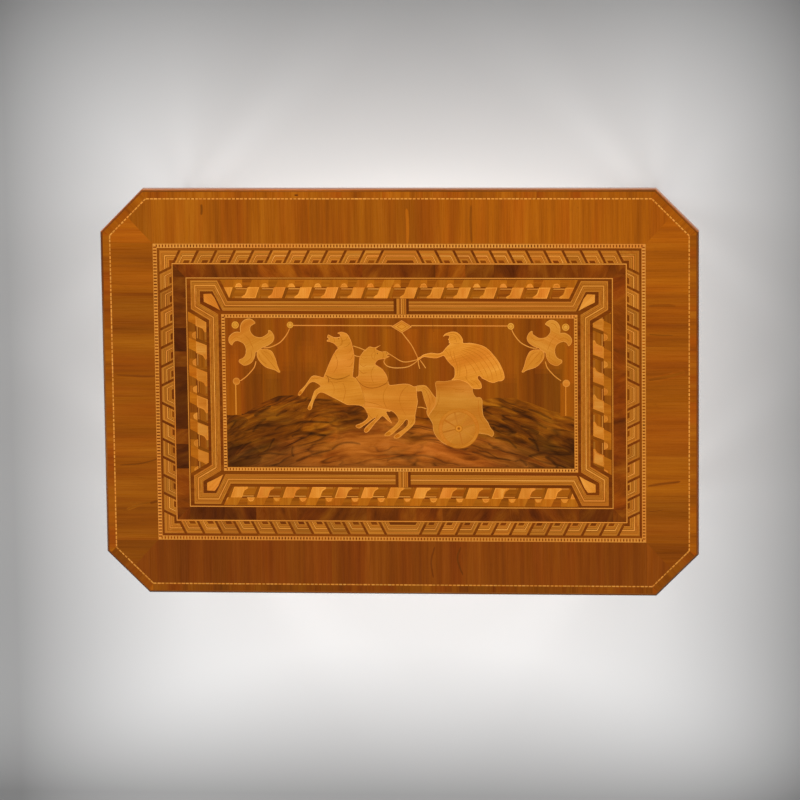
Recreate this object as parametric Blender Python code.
"""Low table: a canted, banded and inlaid top on a frame of four tapering legs and four rails.

Metres, +Z up. The origin is on the floor, under the middle of the top. X runs along the length
of the top, +Y towards its back. Veneers lie in the face of the top as separate thin solids, each
with a glue gap under it and a joint gap beside it, and the frame is mortised and tenoned.
"""

import math

import bmesh
import bpy

# Overall sizes of the table.
TOP_LENGTH = 1.000
TOP_DEPTH = 0.688
TABLE_HEIGHT = 0.480
TOP_THICKNESS = 0.025
CORNER_CANT = 0.071  # length that each 45 degree cant takes off both edges of the top

# Fits between separate pieces.
JOINT_GAP = 0.0003  # between two pieces that lie against each other
TENON_CLEARANCE = 0.0004  # round a tenon in its mortise, on each side
CUT_OVERRUN = 0.004  # how far a cutter runs past the face that it enters

# Edge of the top.
LIPPING_THICKNESS = 0.004
ARRIS_RADIUS = 0.0024  # rounding of the lipping's upper and lower outer corners
ARRIS_STEPS = 4

# Veneers of the top, from the edge inwards.
VENEER_THICKNESS = 0.0010
EDGE_CROSSBAND_WIDTH = 0.0107
DOTTED_STRINGING_WIDTH = 0.0022
WIDE_CROSSBAND_WIDTH = 0.0708
OUTER_CHECK_WIDTH = 0.0073
DARK_LINE_WIDTH = 0.0036
MEANDER_WIDTH = 0.0202
OUTER_HAIRLINE_WIDTH = 0.0026
BURL_BAND_WIDTH = 0.0206
INNER_HAIRLINE_WIDTH = 0.0024
RIBBON_WIDTH = 0.0316
STRAP_WIDTH = 0.0250
INNER_CHECK_WIDTH = 0.0070
# The long sides' bands are a little wider than the same bands at the ends.
SIDE_BAND_SHARE = 1.048

# Skyline of the picture panel: shares of the panel's length and depth from its front left corner.
SKYLINE_SHARES = (
    (0.000, 0.354), (0.050, 0.358), (0.100, 0.430), (0.150, 0.480), (0.190, 0.484),
    (0.243, 0.469), (0.330, 0.453), (0.400, 0.420), (0.500, 0.366), (0.570, 0.335),
    (0.670, 0.366), (0.730, 0.453), (0.774, 0.472), (0.825, 0.472), (0.877, 0.437),
    (0.928, 0.390), (1.000, 0.350),
)

# Legs: square above, tapering on the two inner faces, with the outer corner canted.
LEG_INSET = 0.070  # from the edge of the top to the leg's outer faces
LEG_HEAD = 0.048
LEG_FOOT = 0.028
LEG_CANT = 0.010
LEG_ARRIS = 0.0010
LEG_TAPER_DROP = 0.012  # square length of the leg that shows under the rails

# Rails of the frame under the top.
RAIL_DEPTH = 0.070
RAIL_THICKNESS = 0.020
RAIL_SETBACK = 0.003  # from the leg's outer face to the rail's
RAIL_ARRIS = 0.0010
TENON_THICKNESS = 0.008
TENON_LENGTH = 0.022
TENON_SHOULDER = 0.010  # above and below each tenon

# Corner blocks that brace the frame, and the screws that draw the top down onto them.
BLOCK_THICKNESS = 0.022
BLOCK_DEPTH = 0.040
BLOCK_ARRIS = 0.0008
SCREW_RADIUS = 0.0022
SCREW_CLEARANCE = 0.0004
SCREW_BITE = 0.014  # length of the screw in the top
SCREW_POINT = 0.004
HEAD_RADIUS = 0.0045
HEAD_THICKNESS = 0.0028
HEAD_CROWN_SHARE = 0.45  # radius of the flat crown of the head
SLOT_WIDTH = 0.0012
SLOT_DEPTH = 0.0012
SCREW_POINT_SHARE = 0.25  # radius of the flat at the screw's point
ROUND_STEPS = 20
SHARP_DEGREES = 40  # edges of round pieces sharper than this aren't shaded smooth

SIDES = ("front", "right", "back", "left")
CORNERS = (("front_right", 1, -1), ("back_right", 1, 1), ("back_left", -1, 1), ("front_left", -1, -1))
EIGHT_SIDES = (
    "front", "front_right", "right", "back_right", "back", "back_left", "left", "front_left",
)

CANT_SLOPE = 2 - math.sqrt(2)  # what a cant loses for each unit that its octagon is inset
MITRE_TRIM = JOINT_GAP / math.sqrt(2)
FACE_TOP = TABLE_HEIGHT
FACE_BOTTOM = FACE_TOP - VENEER_THICKNESS
CORE_TOP = FACE_BOTTOM - JOINT_GAP
TOP_UNDERSIDE = TABLE_HEIGHT - TOP_THICKNESS
FRAME_TOP = TOP_UNDERSIDE - JOINT_GAP

WOODS = {
    "walnut": ((0.36, 0.105, 0.012), 0.35),
    "burl": ((0.13, 0.030, 0.006), 0.35),
    "light_veneer": ((0.70, 0.32, 0.075), 0.35),
    "dark_veneer": ((0.09, 0.018, 0.004), 0.35),
    "sky_veneer": ((0.28, 0.075, 0.010), 0.35),
    "frame_wood": ((0.20, 0.055, 0.012), 0.40),
    "core_wood": ((0.45, 0.27, 0.12), 0.60),
}


def clear_scene():
    """Removes every object that the new scene starts with."""
    for thing in list(bpy.data.objects):
        bpy.data.objects.remove(thing, do_unlink=True)


def finish_named(name):
    """The Principled material of this name, made on first use."""
    made = bpy.data.materials.get(name)
    if made:
        return made
    made = bpy.data.materials.new(name)
    made.use_nodes = True
    shader = made.node_tree.nodes["Principled BSDF"]
    if name == "steel":
        colour, roughness, metallic = (0.55, 0.55, 0.56), 0.35, 1.0
    else:
        (colour, roughness), metallic = WOODS[name], 0.0
    shader.inputs["Base Color"].default_value = (*colour, 1.0)
    shader.inputs["Roughness"].default_value = roughness
    shader.inputs["Metallic"].default_value = metallic
    return made


def add_object(name, shape, material):
    """Turns a bmesh into an object with outward faces and its material."""
    bmesh.ops.recalc_face_normals(shape, faces=shape.faces)
    mesh = bpy.data.meshes.new(name)
    shape.to_mesh(mesh)
    shape.free()
    thing = bpy.data.objects.new(name, mesh)
    bpy.context.scene.collection.objects.link(thing)
    if material:
        mesh.materials.append(finish_named(material))
    return thing


def loft(name, sections, material):
    """A closed solid through outlines of equal length, each a list of points in space."""
    shape = bmesh.new()
    rings = [[shape.verts.new(point) for point in section] for section in sections]
    count = len(rings[0])
    for lower, upper in zip(rings, rings[1:]):
        for i in range(count):
            j = (i + 1) % count
            shape.faces.new((lower[i], lower[j], upper[j], upper[i]))
    shape.faces.new(list(reversed(rings[0])))
    shape.faces.new(rings[-1])
    return add_object(name, shape, material)


def prism(name, outline, bottom, top, material):
    """An upright solid over a plan outline."""
    return loft(name, [[(x, y, z) for x, y in outline] for z in (bottom, top)], material)


def frame_ring(name, outer, inner, bottom, top, material):
    """An upright ring between two plan outlines of equal length."""
    shape = bmesh.new()
    loops = []
    for outline, z in ((outer, bottom), (outer, top), (inner, top), (inner, bottom)):
        loops.append([shape.verts.new((x, y, z)) for x, y in outline])
    count = len(outer)
    for a, b in zip(loops, loops[1:] + loops[:1]):
        for i in range(count):
            j = (i + 1) % count
            shape.faces.new((a[i], a[j], b[j], b[i]))
    return add_object(name, shape, material)


def box_between(name, low, high, material=None):
    """A box from its lowest corner to its highest."""
    outline = [(low[0], low[1]), (high[0], low[1]), (high[0], high[1]), (low[0], high[1])]
    return prism(name, outline, low[2], high[2], material)


def as_cutter(thing):
    """Marks an object as a guide that only cuts others."""
    thing.hide_render = True
    thing.display_type = "WIRE"
    return thing


def cut(thing, cutter):
    """Takes a cutter's shape out of a solid."""
    modifier = thing.modifiers.new(cutter.name, "BOOLEAN")
    modifier.operation = "DIFFERENCE"
    modifier.solver = "EXACT"
    modifier.object = cutter


def soften(thing, width):
    """Rounds the sharp edges of a solid."""
    modifier = thing.modifiers.new("arris", "BEVEL")
    modifier.width = width
    modifier.segments = 2
    modifier.limit_method = "ANGLE"


def octagon(inset):
    """Outline of the canted top at an inset, from the front edge's left end, counter-clockwise."""
    x = TOP_LENGTH / 2 - inset
    y = TOP_DEPTH / 2 - inset
    cant = CORNER_CANT - inset * CANT_SLOPE
    return [
        (cant - x, -y), (x - cant, -y), (x, cant - y), (x, y - cant),
        (x - cant, y), (cant - x, y), (-x, y - cant), (-x, cant - y),
    ]


def trimmed(start, end, trim):
    """Both ends of a line, drawn in along it by a trim."""
    length = math.dist(start, end)
    step = ((end[0] - start[0]) * trim / length, (end[1] - start[1]) * trim / length)
    return (start[0] + step[0], start[1] + step[1]), (end[0] - step[0], end[1] - step[1])


def band_strip(outer, inner, index):
    """Outline of one mitred side between two outlines, drawn in at both mitres."""
    following = (index + 1) % len(outer)
    a, b = trimmed(outer[index], outer[following], MITRE_TRIM)
    d, c = trimmed(inner[index], inner[following], MITRE_TRIM)
    return [a, b, c, d]


def band_rectangle(inset):
    """Outline of the banding at an inset from the outer check banding, front left corner first."""
    x = CHECK_HALF_LENGTH - inset
    y = CHECK_HALF_DEPTH - inset * SIDE_BAND_SHARE
    return [(-x, -y), (x, -y), (x, y), (-x, y)]


STRINGING_INSET = LIPPING_THICKNESS + EDGE_CROSSBAND_WIDTH
CROSSBAND_INSET = STRINGING_INSET + DOTTED_STRINGING_WIDTH
CHECK_HALF_LENGTH = TOP_LENGTH / 2 - CROSSBAND_INSET - WIDE_CROSSBAND_WIDTH
CHECK_HALF_DEPTH = TOP_DEPTH / 2 - CROSSBAND_INSET - WIDE_CROSSBAND_WIDTH * SIDE_BAND_SHARE

# Bands inside the wide crossband, in order: name, width, whether it is four strips, material.
INNER_BANDS = (
    ("outer_check_banding", OUTER_CHECK_WIDTH, False, "light_veneer"),
    ("dark_line", DARK_LINE_WIDTH, False, "dark_veneer"),
    ("meander_border", MEANDER_WIDTH, True, "light_veneer"),
    ("outer_hairline", OUTER_HAIRLINE_WIDTH, False, "light_veneer"),
    ("burl_band", BURL_BAND_WIDTH, True, "burl"),
    ("inner_hairline", INNER_HAIRLINE_WIDTH, False, "light_veneer"),
    ("ribbon_border", RIBBON_WIDTH, True, "walnut"),
    ("strap_band", STRAP_WIDTH, False, "dark_veneer"),
    ("inner_check_banding", INNER_CHECK_WIDTH, False, "light_veneer"),
)


def build_core():
    """The board under the veneers, with a pilot hole over each corner block."""
    core = prism("top_core", octagon(LIPPING_THICKNESS), TOP_UNDERSIDE, CORE_TOP, "core_wood")
    for corner, sx, sy in CORNERS:
        cutter = turned(
            f"pilot_{corner}",
            [(SCREW_RADIUS + SCREW_CLEARANCE, TOP_UNDERSIDE - CUT_OVERRUN),
             (SCREW_RADIUS + SCREW_CLEARANCE, TOP_UNDERSIDE + SCREW_BITE + SCREW_CLEARANCE)],
            screw_place(sx, sy),
        )
        cut(core, as_cutter(cutter))


def build_lipping():
    """Eight mitred strips of solid wood round the edge, each with both outer corners rounded."""
    profile = [(LIPPING_THICKNESS - JOINT_GAP, TOP_UNDERSIDE)]
    for middle, quarter in ((TOP_UNDERSIDE + ARRIS_RADIUS, 3), (FACE_TOP - ARRIS_RADIUS, 2)):
        for step in range(ARRIS_STEPS + 1):
            angle = (quarter - step / ARRIS_STEPS) * math.pi / 2
            profile.append((ARRIS_RADIUS * (1 + math.cos(angle)), middle + ARRIS_RADIUS * math.sin(angle)))
    profile.append((LIPPING_THICKNESS - JOINT_GAP, FACE_TOP))
    for index, side in enumerate(EIGHT_SIDES):
        ends = [[], []]
        for inset, z in profile:
            outline = octagon(inset)
            pair = trimmed(outline[index], outline[(index + 1) % len(outline)], MITRE_TRIM)
            for end, (x, y) in zip(ends, pair):
                end.append((x, y, z))
        loft(f"lipping_{side}", ends, "walnut")


def build_edge_veneers():
    """The narrow crossband along the lipping, in eight strips, and the dotted stringing inside it."""
    outer = octagon(LIPPING_THICKNESS + JOINT_GAP / 2)
    inner = octagon(STRINGING_INSET - JOINT_GAP / 2)
    for index, side in enumerate(EIGHT_SIDES):
        strip = band_strip(outer, inner, index)
        prism(f"edge_crossband_{side}", strip, FACE_BOTTOM, FACE_TOP, "walnut")
    frame_ring(
        "dotted_stringing",
        octagon(STRINGING_INSET + JOINT_GAP / 2), octagon(CROSSBAND_INSET - JOINT_GAP / 2),
        FACE_BOTTOM, FACE_TOP, "light_veneer",
    )


def build_wide_crossbands():
    """Four wide crossbands, mitred from the middle of each cant to the check banding's corner."""
    outer = octagon(CROSSBAND_INSET + JOINT_GAP / 2)
    inner = band_rectangle(-JOINT_GAP / 2)
    for index, side in enumerate(SIDES):
        first, last = outer[2 * index], outer[(2 * index + 1) % len(outer)]
        before, after = outer[2 * index - 1], outer[(2 * index + 2) % len(outer)]
        start = ((before[0] + first[0]) / 2, (before[1] + first[1]) / 2)
        end = ((last[0] + after[0]) / 2, (last[1] + after[1]) / 2)
        start, end = trimmed(start, end, MITRE_TRIM)
        d, c = trimmed(inner[index], inner[(index + 1) % len(inner)], MITRE_TRIM)
        outline = [start, first, last, end, c, d]
        prism(f"wide_crossband_{side}", outline, FACE_BOTTOM, FACE_TOP, "walnut")


def build_inner_bands():
    """The bandings and borders between the wide crossbands and the picture. Returns their depth."""
    inset = 0
    for name, width, in_strips, material in INNER_BANDS:
        outer = band_rectangle(inset + JOINT_GAP / 2)
        inner = band_rectangle(inset + width - JOINT_GAP / 2)
        if in_strips:
            for index, side in enumerate(SIDES):
                strip = band_strip(outer, inner, index)
                prism(f"{name}_{side}", strip, FACE_BOTTOM, FACE_TOP, material)
        else:
            frame_ring(name, outer, inner, FACE_BOTTOM, FACE_TOP, material)
        inset += width
    return inset


def build_picture(inset):
    """The sky and the ground of the picture panel, which meet along the skyline."""
    low, _, high, _ = band_rectangle(inset + JOINT_GAP / 2)
    length, depth = high[0] - low[0], high[1] - low[1]
    skyline = [(low[0] + length * along, low[1] + depth * up) for along, up in SKYLINE_SHARES]
    above = [(x, y + JOINT_GAP / 2) for x, y in skyline]
    below = [(x, y - JOINT_GAP / 2) for x, y in skyline]
    sky = above + [(high[0], high[1]), (low[0], high[1])]
    ground = [(low[0], low[1]), (high[0], low[1])] + below[::-1]
    prism("sky_panel", sky, FACE_BOTTOM, FACE_TOP, "sky_veneer")
    prism("ground_panel", ground, FACE_BOTTOM, FACE_TOP, "burl")


def from_corner(sx, sy, u, v):
    """A plan point at distances u and v inwards from a leg's two outer faces."""
    return sx * (TOP_LENGTH / 2 - LEG_INSET - u), sy * (TOP_DEPTH / 2 - LEG_INSET - v)


def leg_section(sx, sy, size, z):
    """A leg's section: a square with its outer corner canted."""
    cant = LEG_CANT
    outline = [(cant, 0), (size, 0), (size, size), (0, size), (0, cant)]
    return [(*from_corner(sx, sy, u, v), z) for u, v in outline]


RAIL_BOTTOM = FRAME_TOP - RAIL_DEPTH
TENON_LOW = RAIL_BOTTOM + TENON_SHOULDER
TENON_HIGH = FRAME_TOP - TENON_SHOULDER
TENON_OUTER = RAIL_SETBACK + (RAIL_THICKNESS - TENON_THICKNESS) / 2
TENON_INNER = TENON_OUTER + TENON_THICKNESS


def plan_box(name, corner_a, corner_b, low, high):
    """A box over the plan rectangle between two points."""
    (ax, ay), (bx, by) = corner_a, corner_b
    return box_between(name, (min(ax, bx), min(ay, by), low), (max(ax, bx), max(ay, by), high))


def build_legs():
    """Four legs, each with two blind mortises for the rails' tenons."""
    taper_start = RAIL_BOTTOM - LEG_TAPER_DROP
    fit = TENON_CLEARANCE
    for corner, sx, sy in CORNERS:
        sections = [
            leg_section(sx, sy, LEG_FOOT, 0),
            leg_section(sx, sy, LEG_HEAD, taper_start),
            leg_section(sx, sy, LEG_HEAD, FRAME_TOP),
        ]
        leg = loft(f"leg_{corner}", sections, "frame_wood")
        soften(leg, LEG_ARRIS)
        deep = LEG_HEAD - TENON_LENGTH - fit
        past = LEG_HEAD + CUT_OVERRUN
        thin, thick = TENON_OUTER - fit, TENON_INNER + fit
        low, high = TENON_LOW - fit, TENON_HIGH + fit
        along_x = from_corner(sx, sy, deep, thin), from_corner(sx, sy, past, thick)
        along_y = from_corner(sx, sy, thin, deep), from_corner(sx, sy, thick, past)
        for axis, (a, b) in (("x", along_x), ("y", along_y)):
            cut(leg, as_cutter(plan_box(f"mortise_{corner}_{axis}", a, b, low, high)))


def build_rails():
    """Four rails under the top, each with a tenon at both ends."""
    half_length = TOP_LENGTH / 2 - LEG_INSET
    half_depth = TOP_DEPTH / 2 - LEG_INSET
    for side in SIDES:
        lengthwise = side in ("front", "back")
        sign = 1 if side in ("back", "right") else -1
        reach, outer = (half_length, half_depth) if lengthwise else (half_depth, half_length)
        shoulder = reach - LEG_HEAD - JOINT_GAP
        tip = reach - LEG_HEAD + TENON_LENGTH
        face = [
            (-shoulder, RAIL_BOTTOM), (shoulder, RAIL_BOTTOM), (shoulder, FRAME_TOP), (-shoulder, FRAME_TOP),
        ]
        near, far = sign * (outer - RAIL_SETBACK), sign * (outer - RAIL_SETBACK - RAIL_THICKNESS)
        rail = loft(f"rail_{side}", [rail_points(face, d, lengthwise) for d in (near, far)], "frame_wood")
        tongue = [(-tip, TENON_LOW), (tip, TENON_LOW), (tip, TENON_HIGH), (-tip, TENON_HIGH)]
        near, far = sign * (outer - TENON_OUTER), sign * (outer - TENON_INNER)
        tenons = loft(f"tenons_{side}", [rail_points(tongue, d, lengthwise) for d in (near, far)], None)
        soften(rail, RAIL_ARRIS)
        joined = rail.modifiers.new("tenons", "BOOLEAN")
        joined.operation = "UNION"
        joined.solver = "EXACT"
        joined.object = as_cutter(tenons)


def rail_points(face, depth, lengthwise):
    """Points of a rail's face, given along its length and height, at one place through it."""
    return [(along, depth, z) if lengthwise else (depth, along, z) for along, z in face]


BLOCK_NEAR = 2 * LEG_HEAD + JOINT_GAP * math.sqrt(2)
BLOCK_FAR = BLOCK_NEAR + BLOCK_THICKNESS * math.sqrt(2)
BLOCK_BOTTOM = FRAME_TOP - BLOCK_DEPTH


def screw_place(sx, sy):
    """Plan place of the screw in the middle of a corner block."""
    middle = (BLOCK_NEAR + BLOCK_FAR) / 4
    return from_corner(sx, sy, middle, middle)


def turned(name, profile, place, material=None):
    """A round solid from (radius, height) pairs given from the bottom up, on an upright axis."""
    sections = []
    for radius, z in profile:
        ring = []
        for step in range(ROUND_STEPS):
            angle = 2 * math.pi * step / ROUND_STEPS
            ring.append((place[0] + radius * math.cos(angle), place[1] + radius * math.sin(angle), z))
        sections.append(ring)
    thing = loft(name, sections, material)
    thing.data.shade_smooth()
    thing.data.set_sharp_from_angle(angle=math.radians(SHARP_DEGREES))
    return thing


def build_corner_blocks():
    """Four blocks across the frame's inner corners, behind the legs, bored for their screws."""
    bearing = RAIL_SETBACK + RAIL_THICKNESS + JOINT_GAP
    plan = [
        (BLOCK_NEAR - bearing, bearing), (BLOCK_FAR - bearing, bearing),
        (bearing, BLOCK_FAR - bearing), (bearing, BLOCK_NEAR - bearing),
    ]
    bore = SCREW_RADIUS + SCREW_CLEARANCE
    for corner, sx, sy in CORNERS:
        outline = [from_corner(sx, sy, u, v) for u, v in plan]
        block = prism(f"corner_block_{corner}", outline, BLOCK_BOTTOM, FRAME_TOP, "core_wood")
        soften(block, BLOCK_ARRIS)
        profile = [(bore, BLOCK_BOTTOM - CUT_OVERRUN), (bore, FRAME_TOP + CUT_OVERRUN)]
        cut(block, as_cutter(turned(f"bore_{corner}", profile, screw_place(sx, sy))))


def build_screws():
    """Four slotted screws up through the blocks into the top."""
    seat = BLOCK_BOTTOM - JOINT_GAP
    tip = TOP_UNDERSIDE + SCREW_BITE
    profile = [
        (HEAD_RADIUS * HEAD_CROWN_SHARE, seat - HEAD_THICKNESS),
        (HEAD_RADIUS, seat - HEAD_THICKNESS / 2),
        (HEAD_RADIUS, seat),
        (SCREW_RADIUS, seat),
        (SCREW_RADIUS, tip - SCREW_POINT),
        (SCREW_RADIUS * SCREW_POINT_SHARE, tip),
    ]
    for corner, sx, sy in CORNERS:
        x, y = screw_place(sx, sy)
        screw = turned(f"screw_{corner}", profile, (x, y), "steel")
        wide, half = HEAD_RADIUS + CUT_OVERRUN, SLOT_WIDTH / 2
        low, high = seat - HEAD_THICKNESS - CUT_OVERRUN, seat - HEAD_THICKNESS + SLOT_DEPTH
        slot = box_between(f"slot_{corner}", (x - wide, y - half, low), (x + wide, y + half, high))
        cut(screw, as_cutter(slot))


def build_table():
    """Builds every piece of the table."""
    build_core()
    build_lipping()
    build_edge_veneers()
    build_wide_crossbands()
    build_picture(build_inner_bands())
    build_legs()
    build_rails()
    build_corner_blocks()
    build_screws()


clear_scene()
build_table()
